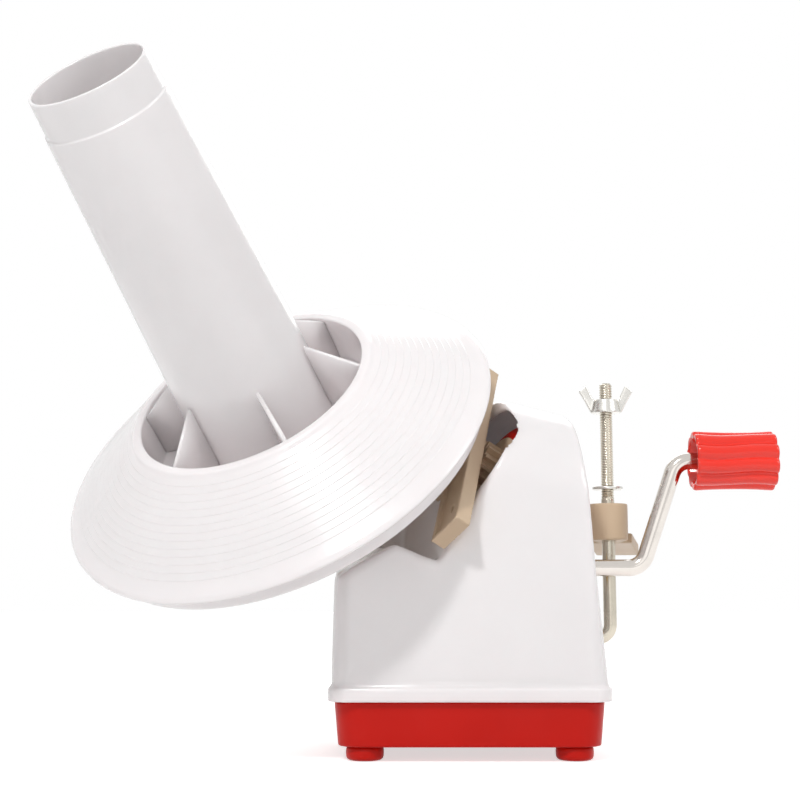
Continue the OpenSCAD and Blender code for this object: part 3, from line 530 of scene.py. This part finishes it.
def grid_faces(work, rings, close_rings=True):
    """Quads between closed rings of vertices; the last ring joins the first if asked."""
    count = len(rings)
    for i in range(count if close_rings else count - 1):
        low, high = rings[i], rings[(i + 1) % count]
        for k in range(len(low)):
            n = (k + 1) % len(low)
            work.faces.new((low[k], low[n], high[n], high[k]))


def finished_mesh(work, name, place=None):
    """Mesh from a bmesh, with its normals outwards, put where place says."""
    bmesh.ops.recalc_face_normals(work, faces=work.faces)
    mesh = bpy.data.meshes.new(name)
    work.to_mesh(mesh)
    work.free()
    if place is not None:
        mesh.transform(place)
    return mesh


def add_lathe(work, profile, segments):
    """Turns a closed (radius, height) profile about Z into a bmesh."""
    rings = []
    for radius, height in profile:
        rings.append([
            work.verts.new((radius * math.cos(a), radius * math.sin(a), height))
            for a in (2 * math.pi * k / segments for k in range(segments))
        ])
    grid_faces(work, rings)


def axis_place(origin, axis, across):
    """Matrix that puts +Z on an axis and +X as near as it goes to across."""
    up = Vector(axis).normalized()
    side = (Vector(across) - up * up.dot(Vector(across))).normalized()
    turned = Matrix((side, up.cross(side), up)).transposed().to_4x4()
    return Matrix.Translation(origin) @ turned


def bobbin_place():
    """The bobbin's frame: +Z along its axis from the disc's rim, +X in the carrier's plane."""
    spin = JOINTS["bobbin_spin"]
    axis = Vector(spin["axis"]).normalized()
    head = Vector(JOINTS["carrier_spin"]["axis"])
    origin = Vector(spin["pos_m"]) - axis * shape().rim_below_cross
    return axis_place(origin, axis, axis - head)


def lowest_on_axis(node):
    """Lowest height of a CAD node along the bobbin's axis, from the disc's rim."""
    back = bobbin_place().inverted()
    return min((back @ v.co).z for v in NODES[node].data.vertices)


# Operators


class WINDER_OT_housing(bpy.types.Operator):
    """White housing with the rounded edges of its mould"""

    bl_idname = "winder.housing"
    bl_label = "Housing"

    lip_top, lip_corner, lip_clear, lip_blend = 27 * MM, 6.5 * MM, 4 * MM, 10 * MM
    rim_r, rim_clear, rim_blend, rim_share = 27 * MM, 5 * MM, 6 * MM, 0.75

    def execute(self, context):
        housing = soften("housing", "housing_shell", voxel=0.8 * MM, rounds=4,
                         weigh=self.weigh, more_rounds=48, keep=0.35)
        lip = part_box("housing_shell")[1]
        round_corners(housing.data, lip.x, lip.y, self.lip_corner)
        return {"FINISHED"}

    def weigh(self, points):
        """Share of the further smoothing: none at the lip, and less round the opening's rim."""
        head = JOINTS["carrier_spin"]
        origin, axis = np.array(head["pos_m"]), np.array(head["axis"])
        away = points - origin
        along = away @ axis
        from_axis = np.linalg.norm(away - np.outer(along, axis), axis=1)
        off_rim = (from_axis - self.rim_r - self.rim_clear) / self.rim_blend
        off_lip = (points[:, 2] - self.lip_top - self.lip_clear) / self.lip_blend
        return np.clip(off_rim, self.rim_share, 1) * np.clip(off_lip, 0, 1)


class WINDER_OT_base(bpy.types.Operator):
    """Red base tub and feet"""

    bl_idname = "winder.base"
    bl_label = "Base"

    taper, sharp_corner = 0.03, 5 * MM

    def execute(self, context):
        base = soften("base", "base_tub", voxel=0.9 * MM, rounds=5, keep=0.5)
        low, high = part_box("base_tub")
        round_corners(base.data, -low.x, high.y, self.sharp_corner)
        for vertex in base.data.vertices:
            draw = 1 - self.taper * max(0.0, 1 - vertex.co.z / high.z)
            vertex.co.x *= draw
            vertex.co.y *= draw
        soften("rubbed_feet", "feet", voxel=0.6 * MM, rounds=36)
        return {"FINISHED"}


class WINDER_OT_bobbin(bpy.types.Operator):
    """Winding disc with its steps and gussets, lower plate and tapered tube"""

    bl_idname = "winder.bobbin"
    bl_label = "Bobbin"

    def execute(self, context):
        self.tube()
        self.plate()
        self.disc()
        return {"FINISHED"}

    def tube(self):
        """Tapered tube with a band at its mouth; heights here are from the disc's rim."""
        size = shape()
        wall, floor_t, hub_r = 2.2 * MM, 2.5 * MM, 11 * MM
        step, lead = 0.7 * MM, 0.5 * MM
        mouth_drop, mouth_in, mouth_thins = 0.4 * MM, 0.6 * MM, 0.2 * MM
        foot, mouth = size.floor_z + floor_t, size.tube_top - mouth_drop
        band = size.tube_top - size.band_h
        slope = (size.tube_foot_r - size.tube_top_r) / (size.tube_top - foot)
        band_r = size.tube_foot_r - slope * (band - foot)
        profile = [
            (size.tube_foot_r, foot), (band_r, band), (band_r - step, band + lead),
            (size.tube_top_r - mouth_in, mouth), (size.tube_top_r - wall + mouth_thins, mouth),
            (size.tube_foot_r - wall, foot + floor_t), (hub_r, foot + floor_t), (hub_r, foot),
        ]
        work = bmesh.new()
        add_lathe(work, fillet(profile, radius=0.7 * MM), segments=128)
        mesh = finished_mesh(work, "tube", bobbin_place())
        add_piece("tube", mesh, "bobbin", "white_plastic", ["bobbin_tube"])

    def plate(self):
        """Lower plate with a hub, a recess above the gear and a rim bent up to the disc."""
        size = shape()
        low, thick, rim_top = -size.plate_low, 2.5 * MM, -2.6 * MM
        bore, hub_r, hub_top = 5.05 * MM, 9 * MM, 14 * MM
        recess, floor, hub_low = 82 * MM, size.floor_z, lowest_on_axis("lower_plate")
        outer, edge = size.plate_r, size.plate_r - 0.1 * MM
        rim_t, rim_foot_t = 2 * MM, 2.4 * MM
        bend_in, bend_up, inner_bend_in, inner_bend_up = 5 * MM, 3 * MM, 6 * MM, 4 * MM
        profile = [
            (bore, hub_low), (hub_r, hub_low), (hub_r, floor - thick), (recess, floor - thick),
            (recess, low), (outer - bend_in, low), (edge, low + bend_up), (edge, rim_top),
            (outer - rim_t, rim_top), (outer - rim_foot_t, low + inner_bend_up),
            (outer - inner_bend_in, low + thick), (recess + thick, low + thick),
            (recess + thick, floor), (hub_r, floor), (hub_r, hub_top), (bore, hub_top),
        ]
        work = bmesh.new()
        add_lathe(work, fillet(profile, radius=1.1 * MM), segments=160)
        mesh = finished_mesh(work, "plate", bobbin_place())
        add_piece("plate", mesh, "bobbin", "white_plastic", ["lower_plate"])

    def disc(self):
        """Winding disc: a stepped cone with a round hole, the hole's floor and its gussets."""
        size = shape()
        steps, rim, wall, bore = 14, 5 * MM, 2.5 * MM, 9.2 * MM
        step_h, step_low, tread = 0.42 * MM, 0.02 * MM, 0.97
        gussets, gusset_turn = 6, 3
        skirt_in, edge_h, bevel_in, bevel_top = 1.2 * MM, 0.4 * MM, 1.4 * MM, 1.9 * MM
        collar_w, collar_edge, collar_t, under_in = 3 * MM, 1.6 * MM, 4.5 * MM, 1 * MM
        inner, floor = size.hole_r - wall, size.floor_z
        underside, top = -0.6 * MM, size.disc_rise - 0.1 * MM
        slope = size.disc_rise / (size.disc_r - size.hole_r)
        step_w = (size.disc_r - rim - size.hole_r - collar_w) / steps
        profile = [
            (size.disc_r - wall, -size.skirt), (size.disc_r - skirt_in, -size.skirt),
            (size.disc_r, underside), (size.disc_r, edge_h), (size.disc_r - bevel_in, bevel_top),
        ]
        for i in range(steps):
            outer = size.disc_r - rim - i * step_w
            start = (size.disc_r - outer) * slope
            profile.append((outer, start + step_h))
            profile.append((outer - tread * step_w, start + step_w * slope + step_low))
        profile += [
            (size.hole_r + collar_edge, top), (inner, top), (inner, floor + wall), (bore, floor + wall),
            (bore, floor), (size.hole_r, floor), (size.hole_r, size.disc_rise - collar_t),
            (size.disc_r - rim + under_in, underside),
        ]
        work = bmesh.new()
        add_lathe(work, fillet(profile, radius=0.9 * MM, steps=3), segments=224)
        for i in range(gussets):
            self.gusset(work, math.radians(360 / gussets * i + gusset_turn), inner)
        mesh = finished_mesh(work, "disc", bobbin_place())
        add_piece("disc", mesh, "bobbin", "white_plastic", ["winding_disc"])

    def gusset(self, work, turn, inner):
        """One web from the tube to the hole's wall, its top edge rounded over."""
        size = shape()
        tube, foot = size.tube_foot_r + 0.1 * MM, size.floor_z + 2 * MM
        top_in, top_out = size.disc_rise + 15 * MM, size.disc_rise - 2 * MM
        half, lean, sunk = 1 * MM, 0.014, 0.6 * MM
        # Across the web, and down from its top in mm
        over = [(-half, 0.9), (-0.7 * half, 0.35), (0.0, 0.1), (0.7 * half, 0.35), (half, 0.9)]
        spin = Matrix.Rotation(turn, 4, "Z")
        rings = []
        for reach, top, slant in ((tube, top_in, lean), (inner + sunk, top_out, 0.0)):
            ring = [(across, top - drop * MM) for across, drop in over]
            ring = [(-half, foot)] + ring + [(half, foot)]
            rings.append([
                work.verts.new(spin @ Vector((reach - slant * max(0.0, height - foot), across, height)))
                for across, height in ring
            ])
        grid_faces(work, rings, close_rings=False)
        work.faces.new(rings[0])
        work.faces.new(rings[1])


class WINDER_OT_carrier(bpy.types.Operator):
    """Beige cross arm and spindle bracket"""

    bl_idname = "winder.carrier"
    bl_label = "Carrier"

    def execute(self, context):
        soften("cross_arm", "carrier_arm", voxel=0.5 * MM, rounds=4, keep=0.4)
        soften("bracket", "spindle_bracket", voxel=0.6 * MM, rounds=4, keep=0.5)
        return {"FINISHED"}


class WINDER_OT_grip(bpy.types.Operator):
    """Red grip with rounded flutes, a waist and hollow ends"""

    bl_idname = "winder.grip"
    bl_label = "Grip"

    flutes, samples, sharpness, wander = 10, 16, 1.2, 0.05
    middle_rows, middle = 24, (0.08, 0.92)
    # From the grip's end, and in from its radius, in mm
    end_rows = [(0.0, 1.0), (0.25, 0.45), (0.8, 0.1), (1.6, 0.0)]

    def execute(self, context):
        low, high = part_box("grip")
        centre = Vector(JOINTS["grip_spin"]["pos_m"])
        long, radius = high.x - low.x, (high.z - low.z) / 2
        bore, left_r, right_r, deep = 4.05 * MM, radius - 3.4 * MM, 8 * MM, 8 * MM
        lead = 0.4 * MM
        far = long - deep
        work = bmesh.new()
        rows = [(at * MM, drop * MM) for at, drop in self.end_rows]
        rows += [(long * t, 0.0) for t in np.linspace(*self.middle, self.middle_rows)]
        rows += [(long - at * MM, drop * MM) for at, drop in reversed(self.end_rows)]
        rings = [self.fluted(work, low.x + at, centre, radius - drop, at / long) for at, drop in rows]
        inner = [
            (long, right_r + 1 * MM), (long - 0.5 * MM, right_r + 0.2 * MM), (long - 1.2 * MM, right_r),
            (far + 0.8 * MM, right_r), (far, right_r - 0.8 * MM), (far, bore + lead), (far - lead, bore),
            (deep + lead, bore), (deep, bore + lead), (deep, left_r - 0.9 * MM), (deep - 0.9 * MM, left_r),
            (1.0 * MM, left_r), (0.2 * MM, left_r + 0.5 * MM),
        ]
        rings += [
            [self.spot(work, low.x + at, centre, r, a) for a in self.turns()] for at, r in inner
        ]
        grid_faces(work, rings)
        mesh = finished_mesh(work, "fluted_grip")
        add_piece("fluted_grip", mesh, "grip", "grip_red", ["grip"])
        return {"FINISHED"}

    def turns(self):
        count = self.flutes * self.samples
        return [2 * math.pi * k / count for k in range(count)]

    def spot(self, work, x, centre, r, a):
        return work.verts.new((x, centre.y + r * math.sin(a), centre.z + r * math.cos(a)))

    def fluted(self, work, x, centre, radius, share):
        """One ring of the fluted outside; the flutes wander a little along the grip."""
        size = shape()
        waist = size.grip_waist * (1 - (2 * share - 1) ** 2)
        shift = self.wander * math.sin(2 * math.pi * share)
        ring = []
        for a in self.turns():
            groove = (1 - abs(math.cos(self.flutes * (a + shift) / 2))) ** self.sharpness
            ring.append(self.spot(work, x, centre, radius - waist - size.grip_flute * groove, a))
        return ring


class WINDER_OT_clamp(bpy.types.Operator):
    """Threaded hook bolt, washer, wing nut and clamp jaw"""

    bl_idname = "winder.clamp"
    bl_label = "Clamp"

    sides, rings_per_pitch, run_in = 32, 6, 2
    leg_rings, bend_rings, shank_rings = 8, 13, 12
    leg_end, thread_end = 0.8, 0.75

    def execute(self, context):
        self.bolt()
        self.washer()
        soften("cast_wing_nut", "wing_nut", voxel=0.35 * MM, rounds=14, look="bright_zinc")
        soften("moulded_jaw", "clamp_jaw", voxel=0.6 * MM, rounds=5)
        return {"FINISHED"}

    def bolt(self):
        """Rings along the bolt: its leg, the bend, the plain shank and the thread, with blunted ends."""
        low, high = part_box("hook_bolt")
        hook = Vector(JOINTS["bolt_swing"]["pos_m"])
        radius, bend, blunt = (high.y - low.y) / 2, 6 * MM, 0.8 * MM
        size = shape()
        turn_x, rise_z = hook.x - bend, hook.z + bend
        upright = math.pi / 2
        stations = [(Vector((low.x, hook.y, hook.z)), 0.0, radius * self.leg_end)]
        for x in np.linspace(low.x + blunt, turn_x, self.leg_rings):
            stations.append((Vector((x, hook.y, hook.z)), 0.0, radius))
        for angle in np.linspace(0, upright, self.bend_rings)[1:-1]:
            spot = Vector((turn_x + bend * math.sin(angle), hook.y, rise_z - bend * math.cos(angle)))
            stations.append((spot, angle, radius))
        for z in np.linspace(rise_z, size.thread_start, self.shank_rings):
            stations.append((Vector((hook.x, hook.y, z)), upright, radius))
        count = int((high.z - size.thread_start) / (size.thread_pitch / self.rings_per_pitch))
        for z in np.linspace(size.thread_start, high.z, count)[1:]:
            tip = min(radius, radius * self.thread_end + (high.z - z))
            stations.append((Vector((hook.x, hook.y, z)), upright, tip))
        work = bmesh.new()
        rings = [self.bolt_ring(work, *station) for station in stations]
        grid_faces(work, rings, close_rings=False)
        work.faces.new(rings[0])
        work.faces.new(rings[-1])
        mesh = finished_mesh(work, "threaded_bolt")
        add_piece("threaded_bolt", mesh, "hook_bolt", "zinc_steel", ["hook_bolt"])

    def bolt_ring(self, work, spot, angle, radius):
        """One ring of the bolt; above the thread's start its radius follows the thread."""
        size = shape()
        out = Vector((-math.sin(angle), 0, math.cos(angle)))
        side = Vector((0, 1, 0))
        ring = []
        for k in range(self.sides):
            a = 2 * math.pi * k / self.sides
            r = radius
            if spot.z > size.thread_start:
                phase = ((spot.z - size.thread_start) / size.thread_pitch - k / self.sides) % 1.0
                fade = min(1.0, (spot.z - size.thread_start) / (self.run_in * size.thread_pitch))
                r -= size.thread_depth * fade * abs(2 * phase - 1)
            ring.append(work.verts.new(spot + out * (r * math.cos(a)) + side * (r * math.sin(a))))
        return ring

    def washer(self):
        low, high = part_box("washer")
        hook = Vector(JOINTS["bolt_swing"]["pos_m"])
        thick, outer, bore = high.z - low.z, (high.x - low.x) / 2, 3.25 * MM
        profile = [(bore, 0), (outer, 0), (outer, thick), (bore, thick)]
        work = bmesh.new()
        add_lathe(work, fillet(profile, radius=0.4 * MM), segments=72)
        mesh = finished_mesh(work, "round_washer", Matrix.Translation((hook.x, hook.y, low.z)))
        add_piece("round_washer", mesh, "washer", "bright_zinc", ["washer"])


class WINDER_OT_works(bpy.types.Operator):
    """Materials of the crank rod, gears, shafts and fasteners that keep their CAD shapes"""

    bl_idname = "winder.works"
    bl_label = "Works"

    def execute(self, context):
        for name, node in NODES.items():
            if node.hide_render:
                continue
            node.data.materials.clear()
            node.data.materials.append(material_for(SLOT_OF[name]))
            node.data.polygons.foreach_set("material_index", [0] * len(node.data.polygons))
        return {"FINISHED"}


class WINDER_OT_stage(bpy.types.Operator):
    """Pale floor, white surroundings, soft lamps and the camera"""

    bl_idname = "winder.stage"
    bl_label = "Stage"

    camera_at = (-0.0306, -0.6637, 0.0652)
    camera_tilt = 98.0
    camera_lens = 63.0
    aim = (-0.03, -0.03, 0.12)
    # Name, place, width and power
    lamps = (
        ("key", (-0.45, -1.1, 1.3), 0.16, 11.8),
        ("side", (1.2, -0.7, 1.1), 0.8, 5.5),
        ("front", (-0.2, -1.6, 0.3), 1.0, 1.3),
        ("back", (0.1, 1.2, 1.0), 1.0, 4.0),
    )
    ambient = 0.44
    floor_glow = 0.62
    floor_gap = 0.05 * MM

    def execute(self, context):
        scene = context.scene
        scene.view_settings.view_transform = "Standard"
        self.floor(scene)
        self.surroundings(scene)
        for name, spot, width, power in self.lamps:
            self.lamp(scene, name, spot, width, power)
        lens = bpy.data.cameras.new("camera")
        lens.lens, lens.sensor_width, lens.clip_start = self.camera_lens, 36.0, 0.01
        camera = bpy.data.objects.new("camera", lens)
        camera.location = self.camera_at
        camera.rotation_euler = (math.radians(self.camera_tilt), 0, 0)
        scene.collection.objects.link(camera)
        scene.camera = camera
        return {"FINISHED"}

    def floor(self, scene):
        reach, height = shape().floor_reach, CAD_BOX[0].z - self.floor_gap
        work = bmesh.new()
        bmesh.ops.create_grid(work, x_segments=8, y_segments=8, size=reach)
        mesh = finished_mesh(work, "floor", Matrix.Translation((0, 0, height)))
        material, tree, surface = blank_material("studio_floor")
        surface.inputs["Base Color"].default_value = shade(finish().floor, 1.0)
        surface.inputs["Roughness"].default_value = 0.9
        surface.inputs["Specular IOR Level"].default_value = 0.1
        surface.inputs["Emission Color"].default_value = (1, 1, 1, 1)
        glow = add_math(tree, "MULTIPLY", self.seen(tree), self.floor_glow)
        tree.links.new(glow, surface.inputs["Emission Strength"])
        mesh.materials.append(material)
        floor = bpy.data.objects.new("floor", mesh)
        scene.collection.objects.link(floor)

    def seen(self, tree):
        """1 for rays of the camera, gloss and glass, which see the white surroundings."""
        path = tree.nodes.new("ShaderNodeLightPath").outputs
        some = add_math(tree, "MAXIMUM", path["Is Camera Ray"], path["Is Glossy Ray"])
        return add_math(tree, "MAXIMUM", some, path["Is Transmission Ray"])

    def surroundings(self, scene):
        world = bpy.data.worlds.new("studio")
        world.use_nodes = True
        scene.world = world
        sky = world.node_tree.nodes["Background"]
        sky.inputs["Color"].default_value = (1, 1, 1, 1)
        seen = self.seen(world.node_tree)
        strength = add_range(world.node_tree, seen, low=0.0, high=1.0, to_low=self.ambient)
        world.node_tree.links.new(strength, sky.inputs["Strength"])

    def lamp(self, scene, name, spot, width, power):
        light = bpy.data.lights.new(name, "AREA")
        light.shape, light.size, light.energy = "DISK", width, power
        lamp = bpy.data.objects.new(name, light)
        lamp.location = spot
        lamp.rotation_euler = (Vector(self.aim) - Vector(spot)).to_track_quat("-Z", "Y").to_euler()
        scene.collection.objects.link(lamp)


OPERATORS = (
    WINDER_OT_housing, WINDER_OT_base, WINDER_OT_bobbin, WINDER_OT_carrier,
    WINDER_OT_grip, WINDER_OT_clamp, WINDER_OT_works, WINDER_OT_stage,
)


class WINDER_PT_panel(bpy.types.Panel):
    """Sidebar panel with the winder's pieces, sizes and colours"""

    bl_idname = "WINDER_PT_panel"
    bl_label = "Yarn ball winder"
    bl_space_type = "VIEW_3D"
    bl_region_type = "UI"
    bl_category = "Winder"

    def draw(self, context):
        for operator in OPERATORS:
            self.layout.operator(operator.bl_idname)
        for group in (context.scene.winder_shape, context.scene.winder_finish):
            box = self.layout.box()
            for name in group.bl_rna.properties.keys():
                if name not in ("rna_type", "name"):
                    box.prop(group, name)


CLASSES = (WinderFinish, WinderShape, *OPERATORS, WINDER_PT_panel)


def register():
    for cls in CLASSES:
        bpy.utils.register_class(cls)
    bpy.types.Scene.winder_finish = bpy.props.PointerProperty(type=WinderFinish)
    bpy.types.Scene.winder_shape = bpy.props.PointerProperty(type=WinderShape)


def unregister():
    del bpy.types.Scene.winder_shape
    del bpy.types.Scene.winder_finish
    for cls in reversed(CLASSES):
        bpy.utils.unregister_class(cls)


def main():
    register()
    bpy.ops.winder.housing()
    bpy.ops.winder.base()
    bpy.ops.winder.bobbin()
    bpy.ops.winder.carrier()
    bpy.ops.winder.grip()
    bpy.ops.winder.clamp()
    bpy.ops.winder.works()
    bpy.ops.winder.stage()


if __name__ == "__main__":
    main()
